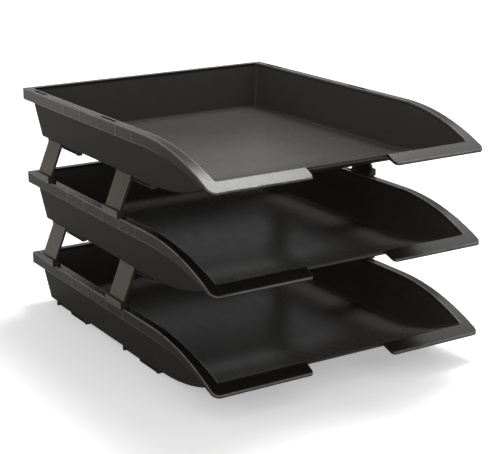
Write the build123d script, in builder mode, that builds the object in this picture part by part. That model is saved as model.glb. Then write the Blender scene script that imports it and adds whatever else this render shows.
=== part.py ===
# Three-tier letter tray stack: three identical open-fronted trays carried over each other by leaning risers.
# Millimetres, +Z up, +X to the right as seen from the open front, front towards -Y.
# The origin is on the surface that the stack stands on, under the middle of the tray rim.

import os
from math import cos, radians, sqrt, tan

from build123d import *

# Stack
tier_names = ["bottom", "middle", "top"]
tier_pitch = 81.5  # from one rim to the next

# Tray, over its rim
tray_width = 265.0
tray_depth = 360.0
tray_height = 46.0  # from the underside of the floor to the top of the rim
wall_thickness = 2.2
floor_thickness = 2.2
wall_draft = 8.5  # degrees that the walls lean outwards
wall_overhang = 5.2  # from the wall's outside to the rim's edge, at rim level
wall_corner = 2.5  # upright rear corners, outside
wall_foot_round = 1.0  # lower edge, outside
inside_corner = 3.0  # upright rear corners, inside
floor_round = 2.5  # between floor and walls, inside

# Rim, the skirt that hangs from its edge, and the lips that it becomes at the front
rim_thickness = 1.7
rim_rear_corner = 1.6
rim_edge_round = 0.8
skirt_height = 10.5
skirt_thickness = 2.0
sweep_length = 108.0  # front stretch over which the rim curves down
lip_drop = 26.0  # how far the lip's front edge lies below the level rim
lip_width = 11.5
lip_edge_height = 2.0
lip_corner = 6.0
cutout_width = 79.0  # finger cut-out between the two lips
cutout_depth = 13.5
cutout_corner = 3.5
cutout_root = 1.5
scoop_length = 114.0  # front stretch over which the floor curves up to the lips

# Risers and their stations
rear_station_inset = 42.7  # from the rim's rear edge to the middle of the rear riser's shoulder
station_spacing = 145.5
riser_width = 27.8
riser_thickness = 2.4
riser_round = 0.6
socket_fit = 0.3  # clearance round a riser's top

# Slots in the rim and the risers' tongues that stand in them
slot_length = 28.0
slot_width = 2.8
slot_inset = 4.0  # from the rim's edge to the middle of the slot
slot_setback = 7.4  # the slot reaches further back than the riser
tongue_length = 20.0
tongue_depth = 6.0
tongue_fit = 0.2
tongue_gap = 0.5  # from the tongue to the slot's front end

# Shoulder block at a riser's foot
shoulder_length = 29.5
shoulder_height = 6.5
shoulder_proud = 2.8  # beyond the rim's edge
shoulder_inset = 5.4  # from the rim's edge to the inner side
shoulder_hook = 0.4  # below the top of the rim
shoulder_heel = 1.2  # height of the inner side
hook_fit = 0.25  # between hook and skirt
groove_width = 0.9  # between shoulder and plate
groove_depth = 1.2

# Sockets under the floor, which take the tops of the risers below and are the feet of the bottom tray
foot_height = 4.0
socket_wall = 2.0
socket_end = 2.5
divider_length = 6.0
divider_width = 3.6
bar_height = 3.4
window_top = 0.8
window_height = 1.4

# Worked out from the sizes above
over = 1.0  # how far a cutting or joining shape passes the surface that it meets
rear = tray_depth / 2
front = -tray_depth / 2
half_width = tray_width / 2
floor_under = foot_height
floor_top = floor_under + floor_thickness
rim_top = floor_under + tray_height
foot_overhang = wall_overhang + tray_height * tan(radians(wall_draft))
inside_overhang = foot_overhang + wall_thickness / cos(radians(wall_draft))
foot_edge = half_width - foot_overhang
sweep_start = front + sweep_length
crest = front + lip_width
scoop_start = front + scoop_length
rise = tier_pitch - tray_height  # free height between two trays
riser_stations = {"rear": rear - rear_station_inset, "front": rear - rear_station_inset - station_spacing}
plate_front = -shoulder_length / 2  # the plate is flush with the front of the shoulder
plate_rear = plate_front + riser_width


def fall(y, drop):
    """How far an arc has fallen at y that starts level at the sweep and drops by that much at the front."""
    radius = (sweep_length**2 + drop**2) / (2 * drop)
    return radius - sqrt(radius**2 - min(0, y - sweep_start) ** 2)


crest_height = rim_top - fall(crest, lip_drop)
scoop_run = scoop_start - crest
scoop_rise = crest_height - floor_top
scoop_radius = (scoop_run**2 + scoop_rise**2) / (2 * scoop_rise)


def scoop(y, radius):
    """Height of the scooped floor at y, on the arc of that radius."""
    return floor_top + scoop_radius - sqrt(radius**2 - min(0, y - scoop_start) ** 2)


def rim_line(level, drop, end):
    """Level from the rear, then falling along an arc to the end, in the side view."""
    Line((rear + over, level), (sweep_start, level))
    middle = (sweep_start + end) / 2
    points = [(y, level - fall(y, drop)) for y in (sweep_start, middle, end)]
    ThreePointArc(*points)


def scoop_line(radius):
    """From the lip's crest down the scoop and level to the rear, in the side view."""
    middle = (crest + scoop_start) / 2
    points = [(y, scoop(y, radius)) for y in (crest, middle, scoop_start)]
    ThreePointArc(*points)
    Line(points[-1], (rear + over, points[-1][1]))


def box(x, y, z):
    """Block between two values each of x, y and z."""
    with Locations(((x[0] + x[1]) / 2, (y[0] + y[1]) / 2, (z[0] + z[1]) / 2)):
        Box(abs(x[1] - x[0]), abs(y[1] - y[0]), abs(z[1] - z[0]))


def on_rim(edge):
    """Whether an edge runs along the rim's top, leaving out the line across it where the sweep starts."""
    gaps = [abs((edge @ t).Z - rim_top + fall((edge @ t).Y, lip_drop)) for t in (0.1, 0.5)]
    return max(gaps) < 0.01 and abs(edge.center().Y - sweep_start) > 0.01


# Outside of the tray's body: floor, scoop and walls in one lump
with BuildPart() as body:
    with BuildSketch(Plane.XY.offset(floor_under)):
        with Locations((0, (front + rear - foot_overhang) / 2)):
            Rectangle(tray_width - 2 * foot_overhang, tray_depth - foot_overhang)
    extrude(amount=tray_height, taper=-wall_draft)
    with BuildSketch(Plane.YZ):
        with BuildLine():
            rim_line(rim_top, lip_drop, crest)
            scoop_line(scoop_radius + floor_thickness)
            Line((crest, crest_height), (crest, scoop(crest, scoop_radius + floor_thickness)))
            Line((rear + over, rim_top), (rear + over, floor_under))
        make_face()
    extrude(amount=half_width, both=True, mode=Mode.INTERSECT)
    rear_wall = body.faces().sort_by(Axis.Y)[-1]
    fillet(rear_wall.edges().filter_by(lambda e: abs(e.tangent_at(0.5).Z) > 0.5), radius=wall_corner)
    floor_face = body.faces().sort_by(Axis.Z)[0]
    fillet(floor_face.edges().filter_by(lambda e: e.center().Y > scoop_start + over), radius=wall_foot_round)

# Space for the papers
with BuildPart() as inside:
    with BuildSketch(Plane.XY.offset(floor_under)):
        with Locations((0, (front + rear - inside_overhang) / 2)):
            Rectangle(tray_width - 2 * inside_overhang, tray_depth - inside_overhang)
    extrude(amount=tray_height + over, taper=-wall_draft)
    with BuildSketch(Plane.YZ):
        with BuildLine():
            scoop_line(scoop_radius)
            Line((rear + over, floor_top), (rear + over, rim_top + over))
            Line((rear + over, rim_top + over), (crest, rim_top + over))
            Line((crest, rim_top + over), (crest, crest_height))
        make_face()
    extrude(amount=half_width, both=True, mode=Mode.INTERSECT)
    back_face = inside.faces().sort_by(Axis.Y)[-1]
    fillet(back_face.edges().filter_by(lambda e: abs(e.tangent_at(0.5).Z) > 0.5), radius=inside_corner)
    floor_face = inside.faces().sort_by(Axis.Z)[0]
    fillet(floor_face.edges().filter_by(lambda e: e.center().Y > scoop_start + over), radius=floor_round)

# Rim and skirt seen from above, with the finger cut-out
with BuildSketch() as rim_outline:
    Rectangle(tray_width, tray_depth)
    with Locations((0, front + cutout_depth / 2)):
        Rectangle(cutout_width, cutout_depth, mode=Mode.SUBTRACT)
    fillet(rim_outline.vertices().filter_by(lambda v: v.Y > 0), radius=rim_rear_corner)
    front_corners = rim_outline.vertices().group_by(Axis.Y)[0].sort_by(Axis.X)
    fillet([front_corners[0], front_corners[-1]], radius=lip_corner)
    front_corners = rim_outline.vertices().group_by(Axis.Y)[0].sort_by(lambda v: abs(v.X))
    fillet(front_corners[:2], radius=cutout_corner)
    root = rim_outline.vertices().filter_by(lambda v: abs(v.Y - front - cutout_depth) < 0.01)
    fillet(root, radius=cutout_root)

with BuildSketch() as skirt_ring:
    add(rim_outline.sketch)
    offset(rim_outline.sketch, amount=-skirt_thickness, mode=Mode.SUBTRACT)

with BuildPart() as skirt:
    add(skirt_ring.sketch)
    extrude(amount=rim_top + over)
    with BuildSketch(Plane.YZ):
        with BuildLine():
            rim_line(rim_top, lip_drop, front)
            rim_line(rim_top - skirt_height, lip_drop + lip_edge_height - skirt_height, front)
            Line((front, rim_top - lip_drop), (front, rim_top - lip_drop - lip_edge_height))
            Line((rear + over, rim_top), (rear + over, rim_top - skirt_height))
        make_face()
    extrude(amount=half_width, both=True, mode=Mode.INTERSECT)

with BuildPart() as tray:
    add(rim_outline.sketch)
    extrude(amount=rim_top + over)
    with BuildSketch(Plane.YZ):
        with BuildLine():
            rim_line(rim_top, lip_drop, front)
            rim_line(rim_top - rim_thickness, lip_drop, front)
            Line((front, rim_top - lip_drop), (front, rim_top - lip_drop - rim_thickness))
            Line((rear + over, rim_top), (rear + over, rim_top - rim_thickness))
        make_face()
    extrude(amount=half_width, both=True, mode=Mode.INTERSECT)
    add(skirt.part)
    # the rim's outer top edge is rounded all the way along sides, lips and cut-out
    fillet(tray.edges().filter_by(on_rim), radius=rim_edge_round)
    add(body.part)
    add(inside.part, mode=Mode.SUBTRACT)
    # finger cut-out through the floor's front edge
    with Locations((0, front + cutout_depth / 2, rim_top / 2)):
        Box(cutout_width, cutout_depth, rim_top, mode=Mode.SUBTRACT)
    for station in riser_stations.values():
        for side in (-1, 1):
            # slot in the rim
            with Locations((side * (half_width - slot_inset), station + slot_setback, rim_top)):
                Box(slot_width, slot_length, 2 * rim_thickness, mode=Mode.SUBTRACT)
            # taken socket, divider and spare socket, all open towards the outside
            taken_front = station + plate_front - socket_fit
            taken_rear = station + plate_rear + socket_fit
            divider = taken_front - divider_length
            spare = divider - (taken_rear - taken_front)
            rib = foot_edge - riser_thickness - socket_fit - socket_wall
            depth = (0, foot_height + over)
            box((side * rib, side * (rib + socket_wall)), (spare - socket_end, taken_rear + socket_wall), depth)
            box((side * rib, side * foot_edge), (taken_rear, taken_rear + socket_wall), depth)
            box((side * rib, side * (rib + divider_width)), (divider, divider + divider_length), depth)
            box((side * rib, side * foot_edge), (spare - socket_end, spare), depth)
            # bar across the spare socket's open side, with a window over it
            edge = (side * (foot_edge - socket_wall), side * foot_edge)
            bar = (spare - socket_end, divider + divider_length / 2)
            box(edge, bar, (foot_height - bar_height, foot_height - window_top - window_height))
            box(edge, bar, (foot_height - window_top, foot_height + over))

print("tray volume", tray.part.volume, "solids", len(tray.part.solids()), "valid", tray.part.is_valid)

# Riser for the right-hand side, standing on the bottom tray's rim
inner = half_width - shoulder_inset
outer = half_width + shoulder_proud
shoulder_top = rim_top + shoulder_height
with BuildPart() as riser:
    # shoulder block, which stands on the rim and laps over its edge
    with BuildSketch(Plane.XZ):
        with BuildLine():
            Polyline(
                (inner, rim_top),
                (half_width + hook_fit, rim_top),
                (half_width + hook_fit, rim_top - shoulder_hook),
                (outer, rim_top - shoulder_hook),
                (outer, shoulder_top),
                (half_width + groove_width, shoulder_top),
                (half_width + groove_width, shoulder_top - groove_depth),
                (half_width - riser_thickness, shoulder_top - groove_depth),
                (inner, rim_top + shoulder_heel),
                close=True,
            )
        make_face()
    extrude(amount=shoulder_length / 2, both=True)
    # leaning plate
    with BuildSketch(Plane.XZ.offset(-plate_rear)):
        with BuildLine():
            Polyline(
                (half_width, shoulder_top - groove_depth),
                (half_width, shoulder_top),
                (foot_edge, rim_top + rise),
                (foot_edge - riser_thickness, rim_top + rise),
                (half_width - riser_thickness, shoulder_top),
                (half_width - riser_thickness, shoulder_top - groove_depth),
                close=True,
            )
        make_face()
    extrude(amount=riser_width)
    crosswise = riser.edges().filter_by(Axis.Y)
    fillet(crosswise.filter_by(lambda e: e.center().X > outer - 0.01), radius=riser_round)
    slot_front = slot_setback - slot_length / 2
    tongue = (slot_front + tongue_gap, slot_front + tongue_gap + tongue_length)
    slot_middle = half_width - slot_inset
    tongue_half = slot_width / 2 - tongue_fit
    box((slot_middle - tongue_half, slot_middle + tongue_half), tongue, (rim_top - tongue_depth, rim_top + over))

print("riser volume", riser.part.volume, "solids", len(riser.part.solids()), "valid", riser.part.is_valid)

# Place the trays and the risers, one file for each piece
os.makedirs("parts", exist_ok=True)
for level, tier in enumerate(tier_names):
    placed_tray = tray.part.moved(Location((0, 0, level * tier_pitch)))
    placed_tray.label = tier + "_tray"
    export_step(placed_tray, "parts/" + tier + "_tray.step")

left_riser = mirror(riser.part, about=Plane.YZ)
for level, flight in enumerate(["lower", "upper"]):
    for place, station in riser_stations.items():
        for side, shape in (("right", riser.part), ("left", left_riser)):
            placed_riser = shape.moved(Location((0, station, level * tier_pitch)))
            placed_riser.label = flight + "_" + side + "_" + place + "_riser"
            export_step(placed_riser, "parts/" + placed_riser.label + ".step")
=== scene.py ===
import math

import bpy
from mathutils import Matrix, Vector

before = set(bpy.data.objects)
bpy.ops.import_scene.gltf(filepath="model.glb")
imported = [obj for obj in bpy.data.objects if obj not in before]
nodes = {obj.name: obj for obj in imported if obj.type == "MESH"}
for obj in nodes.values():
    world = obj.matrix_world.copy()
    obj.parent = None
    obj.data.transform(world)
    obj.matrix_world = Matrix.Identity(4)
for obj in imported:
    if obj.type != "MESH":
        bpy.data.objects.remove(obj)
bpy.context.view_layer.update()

# Sizes of the object that the materials follow, in metres
tiers = ("bottom", "middle", "top")
tierPitch = 0.0815
rimTop = 0.050  # of the bottom tray
halfWidth = 0.1325
rearEdge = 0.180
skirtHeight = 0.0105
sweepStart = -0.072
sweepRadius = 0.2373
rimInside = 0.00742  # from the rim's edge to the inside of the wall
wallSlope = 0.1495
lipCorner = 0.006
crest = -0.1685  # where lip and scoop meet

# Camera: a front three-quarter view from the left, a little above the top tray
cam = {
    "place": (-0.61869, -1.0431, 0.44803),
    "azimuth": -31.072,
    "elevation": 16.149,
    "roll": -0.775,
    "focal": 1379.4,  # in pixels of the frame
    "frameWidth": 500,  # in pixels
    "sensor": 36,
    "farthest": 30,
}
az, el, ro = (math.radians(cam[kind]) for kind in ("azimuth", "elevation", "roll"))
ahead = Vector((-math.sin(az) * math.cos(el), math.cos(az) * math.cos(el), -math.sin(el)))
right = ahead.cross(Vector((0, 0, 1))).normalized()
down = ahead.cross(right).normalized()
rolledRight = math.cos(ro) * right - math.sin(ro) * down
rolledDown = math.sin(ro) * right + math.cos(ro) * down
turn = Matrix((rolledRight, -rolledDown, -ahead)).transposed()
camData = bpy.data.cameras.new("camera")
camData.sensor_width = cam["sensor"]
camData.lens = cam["sensor"] * cam["focal"] / cam["frameWidth"]
camData.clip_end = cam["farthest"]
camera = bpy.data.objects.new("camera", camData)
camera.matrix_world = Matrix.Translation(cam["place"]) @ turn.to_4x4()
bpy.context.scene.collection.objects.link(camera)
bpy.context.scene.camera = camera
print("camera set")


# Short calls for the nodes of one material, or of the world
class Tree:

    def __init__(self, owner, shader):
        owner.use_nodes = True
        self.owner = owner
        self.nodes = owner.node_tree.nodes
        self.links = owner.node_tree.links
        self.shader = self.nodes[shader]

    def node(self, kind, **settings):
        made = self.nodes.new("ShaderNode" + kind)
        for key, value in settings.items():
            setattr(made, key, value)
        return made

    # links a value that is a socket, and sets any other
    def put(self, socket, value):
        if isinstance(value, bpy.types.NodeSocket):
            self.links.new(value, socket)
        else:
            socket.default_value = value

    def fill(self, node, values):
        for key, value in values.items():
            self.put(node.inputs[key], value)
        return node

    def calc(self, kind, *values):
        return self.fill(self.node("Math", operation=kind), dict(enumerate(values))).outputs[0]

    # carries a value smoothly from start, at low, to end, at high
    def ramp(self, value, low, high, start=0.0, end=1.0):
        node = self.node("MapRange", interpolation_type="SMOOTHSTEP")
        return self.fill(node, dict(enumerate((value, low, high, start, end)))).outputs[0]

    def noise(self, place, scale, detail=2.0, rough=0.5):
        values = {"Vector": place, "Scale": scale, "Detail": detail, "Roughness": rough}
        return self.fill(self.node("TexNoise"), values).outputs["Fac"]

    def mixColour(self, share, first, second):
        return self.fill(self.node("Mix", data_type="RGBA"), {0: share, 6: first, 7: second}).outputs[2]

    def mixValue(self, share, first, second):
        return self.fill(self.node("Mix"), {0: share, 2: first, 3: second}).outputs[0]

    def split(self, vector):
        return self.fill(self.node("SeparateXYZ"), {0: vector}).outputs

    def stretch(self, place, factors):
        return self.fill(self.node("Mapping"), {"Vector": place, "Scale": factors}).outputs[0]

    def bump(self, height, distance, normal=None):
        node = self.fill(self.node("Bump"), {"Strength": 1.0, "Distance": distance, "Height": height})
        if normal is not None:
            self.put(node.inputs["Normal"], normal)
        return node.outputs[0]

    # 1 for what the camera, reflections and clear things see, and 0 for what only lights
    def seen(self):
        path = self.node("LightPath")
        straight = self.calc("MAXIMUM", path.outputs["Is Camera Ray"], path.outputs["Is Glossy Ray"])
        return self.calc("MAXIMUM", straight, path.outputs["Is Transmission Ray"])


def newMaterial(name):
    return Tree(bpy.data.materials.new(name), "Principled BSDF")


# Tray: each pair is where a finish starts and where it is full, in metres unless the note says other
tray = {
    "dark": (0.0092, 0.0074, 0.0054, 1),
    "light": (0.0142, 0.0116, 0.0086, 1),
    # a paler copy of the plastic for the inside, painted bounce light
    "litInsideDark": (0.0540, 0.0510, 0.0470, 1),
    "litInsideLight": (0.0730, 0.0690, 0.0640, 1),
    "grainDark": (0.0075, 0.0070, 0.0062, 1),
    "grainLight": (0.0200, 0.0188, 0.0168, 1),
    # paler streaks on the sink marks, a painted highlight
    "wornAndHighlight": (0.078, 0.072, 0.063, 1),
    # painted highlight on the rounded edges
    "edgeHighlight": (0.150, 0.144, 0.133, 1),
    "gloss": 0.27,
    "glossSpread": (-0.03, 0.04),
    "grainRough": 0.55,
    "grainSpread": 0.06,
    "shine": 0.03,
    "weakShine": 0.012,
    "rimShine": 0.13,
    "lipShine": 0.28,
    "shineRough": 0.2,
    "facing": (0.3, 0.5),  # share of a normal that points outwards or down
    "facingUp": (0.3, 0.6),  # share of a normal that points up
    "rearWall": (0.10, 0.12),
    "grainBorder": 0.0003,  # half the width of the change from skirt to grain
    "edgeIn": (0.0012, 0.0003),
    "edgeDepth": (0.0016, 0.0006),
    "hemUp": 0.0005,
    "hemWidth": (0.0006, 0.0002),
    # strength of the painted highlight line along the skirt's lower edge
    "hemHighlight": 0.45,
    "turnWidth": (0.0011, 0.0006),
    "turnDepth": (0.0020, 0.0010),
    "turnEnd": 0.002,
    "insideDepth": (0.001, 0.004),
    "topDepth": (0.005, 0.003),
    "lips": (-0.075, -0.150),
    "sinks": (0.084, 0.049, 0.011, -0.022, -0.052),
    "sinkHalf": 0.0030,
    # share of the painted highlight on the sink marks, over the noise
    "sinkHighlight": (0.08, 0.3),
    "sinkHeight": 0.00012,
    "waveHeight": 0.00012,
    "grainHeight": 0.00009,
    "highlightNoiseScale": 60,
    "slowScale": 14,
    "speckScale": 1800,
    "smearScale": 90,
    "grainScale": 2300,
    "waveScale": 22,
}


# Depth below the rim's top, which falls along an arc of sweepRadius in front of sweepStart:
# the arc's height is the root of the radius squared less the distance from sweepStart squared
def depthUnderRim(t, y, z, lift):
    past = t.calc("MINIMUM", t.calc("SUBTRACT", y, sweepStart), 0.0)
    square = t.calc("MULTIPLY", past, past)
    root = t.calc("SQRT", t.calc("SUBTRACT", sweepRadius**2, square))
    rimHeight = t.calc("ADD", root, rimTop + lift - sweepRadius)
    return t.calc("SUBTRACT", rimHeight, z)


# 1 on the outer faces of the side and rear walls and on the underside, and 0 on the others
def outsideShare(t, x, y, facing, spec):
    sideways = t.calc("MULTIPLY", t.calc("SIGN", x), facing[0])
    backward = t.calc("MULTIPLY", facing[1], t.ramp(y, *spec["rearWall"]))
    under = t.calc("MULTIPLY", facing[2], -1.0)
    outward = t.calc("MAXIMUM", t.calc("MAXIMUM", sideways, backward), under)
    return t.ramp(outward, *spec["facing"])


# Share of painted highlight on the rounded edges, broken up by noise: a band along the outer edge of rim
# and lips, which follows the lips' round corners, a thin line at the skirt's lower edge, and one where
# the rim turns down into the tray
def edgeHighlightShare(t, place, below, outside, lift, highlightNoise, spec):
    x, y, z = place
    sideIn = t.calc("SUBTRACT", halfWidth, t.calc("ABSOLUTE", x))
    cornerX = t.calc("MAXIMUM", t.calc("SUBTRACT", lipCorner, sideIn), 0.0)
    cornerY = t.calc("MAXIMUM", t.calc("SUBTRACT", lipCorner - rearEdge, y), 0.0)
    squares = (t.calc("MULTIPLY", cornerX, cornerX), t.calc("MULTIPLY", cornerY, cornerY))
    fromCorner = t.calc("SQRT", t.calc("ADD", *squares))
    frontIn = t.calc("SUBTRACT", lipCorner, fromCorner)
    edgeIn = t.calc("MINIMUM", frontIn, t.calc("SUBTRACT", rearEdge, y))
    highlightShare = t.calc("MULTIPLY", t.ramp(edgeIn, *spec["edgeIn"]), t.ramp(below, *spec["edgeDepth"]))
    hem = t.calc("ABSOLUTE", t.calc("SUBTRACT", below, skirtHeight - spec["hemUp"]))
    hem = t.calc("MULTIPLY", outside, t.ramp(hem, *spec["hemWidth"], 0.0, spec["hemHighlight"]))
    slope = t.calc("MULTIPLY", t.calc("SUBTRACT", rimTop + lift, z), wallSlope)
    turnIn = t.calc("ABSOLUTE", t.calc("SUBTRACT", t.calc("SUBTRACT", sideIn, rimInside), slope))
    turnIn = t.calc("MULTIPLY", t.ramp(turnIn, *spec["turnWidth"]), t.ramp(below, *spec["turnDepth"]))
    turnIn = t.calc("MULTIPLY", turnIn, t.ramp(y, crest, crest + spec["turnEnd"]))
    highlightShare = t.calc("MAXIMUM", highlightShare, t.calc("MAXIMUM", hem, turnIn))
    return t.calc("MULTIPLY", highlightShare, t.ramp(highlightNoise, 0.25, 0.55, 0.45, 1.0))


# Faint upright marks across the skirt, where the plastic sank over what is moulded behind it; their share
# gives a bump and a painted highlight
def sinkShare(t, y, skirt, spec):
    marks = 0.0
    for mark in spec["sinks"]:
        distance = t.calc("ABSOLUTE", t.calc("SUBTRACT", y, mark))
        marks = t.calc("ADD", marks, t.ramp(distance, spec["sinkHalf"], 0.0))
    return t.calc("MULTIPLY", marks, skirt)


# Moulded tray: a fine grain on the outer walls, and a smooth, half glossy rim, lips and inside
def trayPlastic(name, lift, spec):
    t = newMaterial(name)
    coord = t.node("TexCoord")
    place = coord.outputs["Object"]
    x, y, z = t.split(place)
    facing = t.split(coord.outputs["Normal"])
    below = depthUnderRim(t, y, z, lift)
    outside = outsideShare(t, x, y, facing, spec)
    # painted bounce light: below the rim, the inside is coloured with a paler copy of the plastic
    litInside = t.calc("MULTIPLY", t.calc("SUBTRACT", 1.0, outside), t.ramp(below, *spec["insideDepth"]))
    border = spec["grainBorder"]
    wall = t.calc("MULTIPLY", outside, t.ramp(below, skirtHeight - border, skirtHeight + border))
    smooth = t.calc("SUBTRACT", 1.0, wall)
    # noise that breaks up the painted highlights
    highlightNoise = t.noise(place, spec["highlightNoiseScale"], 3)
    highlightShare = edgeHighlightShare(t, (x, y, z), below, outside, lift, highlightNoise, spec)
    marks = sinkShare(t, y, t.calc("MULTIPLY", outside, smooth), spec)

    # colour: slow variation, fine specks in the grain, a paler copy inside as painted bounce light, and
    # painted highlights on the rounded edges and the sink marks
    slow = t.noise(place, spec["slowScale"], 3)
    speck = t.noise(place, spec["speckScale"], 2)
    grainTone = t.mixColour(t.ramp(speck, 0.35, 0.7), spec["grainDark"], spec["grainLight"])
    base = t.mixColour(slow, spec["dark"], spec["light"])
    base = t.mixColour(wall, base, grainTone)
    base = t.mixColour(litInside, base, t.mixColour(slow, spec["litInsideDark"], spec["litInsideLight"]))
    # painted highlight along the rounded edges
    base = t.mixColour(highlightShare, base, spec["edgeHighlight"])
    # painted highlight: the sink marks are coloured as paler streaks, broken up by noise
    markHighlight = t.calc("MULTIPLY", marks, t.ramp(highlightNoise, 0.3, 0.6, *spec["sinkHighlight"]))
    base = t.mixColour(markHighlight, base, spec["wornAndHighlight"])

    # roughness: half gloss with faint smears, duller in the grain
    smear = t.noise(t.stretch(place, (1.0, 0.3, 1.0)), spec["smearScale"], 5, 0.7)
    gloss = t.ramp(smear, 0.2, 0.8, *(spec["gloss"] + change for change in spec["glossSpread"]))
    spread = spec["grainSpread"]
    dull = t.ramp(speck, 0.3, 0.7, spec["grainRough"] - spread, spec["grainRough"] + spread)

    # height: a slight waviness of the smooth faces, grain outside, and the sink marks
    grain = t.calc("MULTIPLY", t.noise(place, spec["grainScale"], 3, 0.6), wall)
    waved = t.bump(t.noise(place, spec["waveScale"], 1), spec["waveHeight"])
    grained = t.bump(grain, spec["grainHeight"], waved)

    # sheen of the polished mould: strongest on the lips, weak on skirt and inside, none in the grain
    top = t.calc("MULTIPLY", t.ramp(facing[2], *spec["facingUp"]), t.ramp(below, *spec["topDepth"]))
    top = t.calc("MULTIPLY", top, t.ramp(y, *spec["lips"], spec["rimShine"], spec["lipShine"]))
    t.fill(t.shader, {
        "Base Color": base,
        "Roughness": t.mixValue(wall, gloss, dull),
        "Normal": t.bump(marks, spec["sinkHeight"], grained),
        "Specular IOR Level": spec["shine"],
        "Coat Weight": t.calc("MAXIMUM", top, t.calc("MULTIPLY", smooth, spec["weakShine"])),
        "Coat Normal": waved,
        "Coat Roughness": spec["shineRough"],
    })
    return t.owner


riser = {
    "dark": (0.0280, 0.0220, 0.0158, 1),
    "light": (0.0415, 0.0335, 0.0245, 1),
    "wornAndHighlight": (0.060, 0.053, 0.045, 1),
    "wear": 0.4,
    "rough": 0.42,
    "roughSpread": (-0.07, 0.08),
    "shine": 0.12,
    "slowScale": 25,
    "speckScale": 1600,
    "scuffScale": 220,
    "waveScale": 45,
    "grainScale": 2000,
    "waveHeight": 0.0002,
    "grainHeight": 0.00005,
    "scuffHeight": 0.00003,
}


# Moulded riser: satin, with fine scuffs along its length
def riserPlastic(name, spec):
    t = newMaterial(name)
    place = t.node("TexCoord").outputs["Object"]
    slow = t.noise(place, spec["slowScale"], 3)
    speck = t.noise(place, spec["speckScale"], 2)
    scuff = t.noise(t.stretch(place, (6.0, 6.0, 0.6)), spec["scuffScale"], 4, 0.7)
    base = t.mixColour(slow, spec["dark"], spec["light"])
    wear = t.calc("MULTIPLY", t.ramp(speck, 0.4, 0.75), spec["wear"])
    waved = t.bump(t.noise(place, spec["waveScale"], 1), spec["waveHeight"])
    grained = t.bump(t.noise(place, spec["grainScale"], 3, 0.6), spec["grainHeight"], waved)
    roughs = [spec["rough"] + change for change in spec["roughSpread"]]
    t.fill(t.shader, {
        "Base Color": t.mixColour(wear, base, spec["wornAndHighlight"]),
        "Roughness": t.ramp(scuff, 0.25, 0.75, *roughs),
        "Normal": t.bump(scuff, spec["scuffHeight"], grained),
        "Specular IOR Level": spec["shine"],
    })
    return t.owner


riserMat = riserPlastic("riserPlastic", riser)
trayMats = {}
for level, tier in enumerate(tiers):
    trayMats[tier] = trayPlastic(tier + "TrayPlastic", level * tierPitch, tray)
for name, node in nodes.items():
    tier = name.split("_")[0]
    node.data.materials.clear()
    node.data.materials.append(trayMats[tier] if name.endswith("tray") else riserMat)
print("materials set")

# Floor: what the camera and reflections see of it is lifted to white, and the shadow stays on it.
# The lamps don't reach its far part, which is lifted more.
ground = {
    "size": 30,
    "colour": (0.88, 0.88, 0.88, 1),
    "rough": 0.6,
    "shine": 0.2,
    "liftBand": (0.8, 2.5),
    "lifts": (0.4, 0.75),
}
bpy.ops.mesh.primitive_plane_add(size=ground["size"], location=(0, 0, 0))
floor = bpy.context.object
floor.name = "floor"
paint = newMaterial("floor")
place = paint.node("TexCoord").outputs["Object"]
away = paint.fill(paint.node("VectorMath", operation="LENGTH"), {0: place}).outputs["Value"]
lift = paint.ramp(away, *ground["liftBand"], *ground["lifts"])
paint.fill(paint.shader, {
    "Base Color": ground["colour"],
    "Roughness": ground["rough"],
    "Specular IOR Level": ground["shine"],
    "Emission Color": (1, 1, 1, 1),
    "Emission Strength": paint.calc("MULTIPLY", paint.seen(), lift),
})
floor.data.materials.append(paint.owner)
print("floor set")

# World: white behind the object, and a plain soft light on it
air = {"light": 0.4, "white": 1.0}
world = Tree(bpy.data.worlds.new("world"), "Background")
bpy.context.scene.world = world.owner
world.fill(world.shader, {"Color": (1, 1, 1, 1), "Strength": air["light"]})
white = world.fill(world.node("Background"), {"Color": (1, 1, 1, 1), "Strength": air["white"]})
choose = world.node("MixShader")
world.fill(choose, {0: world.seen(), 1: world.shader.outputs[0], 2: white.outputs[0]})
world.put(world.nodes["World Output"].inputs["Surface"], choose.outputs[0])

# Soft lamps: place, the point each looks at, size in metres and power in watts
lamps = {
    "backRight": {"place": (0.80, 0.60, 2.14), "target": (0, -0.1, 0.1), "size": (0.8, 0.8), "power": 42},
    "right": {"place": (1.50, 0.45, 1.75), "target": (0, -0.1, 0.1), "size": (1.0, 1.0), "power": 8},
    "left": {"place": (-1.7, -0.3, 0.8), "target": (0, 0, 0.1), "size": (0.9, 0.9), "power": 4},
    "front": {"place": (0.3, -2.0, 1.3), "target": (0, 0, 0.1), "size": (1.2, 0.9), "power": 5},
    "backLeft": {
        "place": (-0.5, 0.88, 0.1),
        "target": (-0.13, 0.17, 0.15),
        "size": (0.3, 0.2),
        "power": 0.4,
        "tint": (1.0, 0.88, 0.78),
    },
}


def softbox(name, spec):
    data = bpy.data.lights.new(name, "AREA")
    data.shape = "RECTANGLE"
    data.size, data.size_y = spec["size"]
    data.energy = spec["power"]
    data.color = spec.get("tint", (1, 1, 1))
    lamp = bpy.data.objects.new(name, data)
    lamp.visible_camera = False
    aim = (Vector(spec["target"]) - Vector(spec["place"])).to_track_quat("-Z", "Y")
    lamp.matrix_world = Matrix.Translation(spec["place"]) @ aim.to_matrix().to_4x4()
    bpy.context.scene.collection.objects.link(lamp)


for name, spec in lamps.items():
    softbox(name, spec)
bpy.context.scene.view_settings.view_transform = "Standard"
print("lights set")
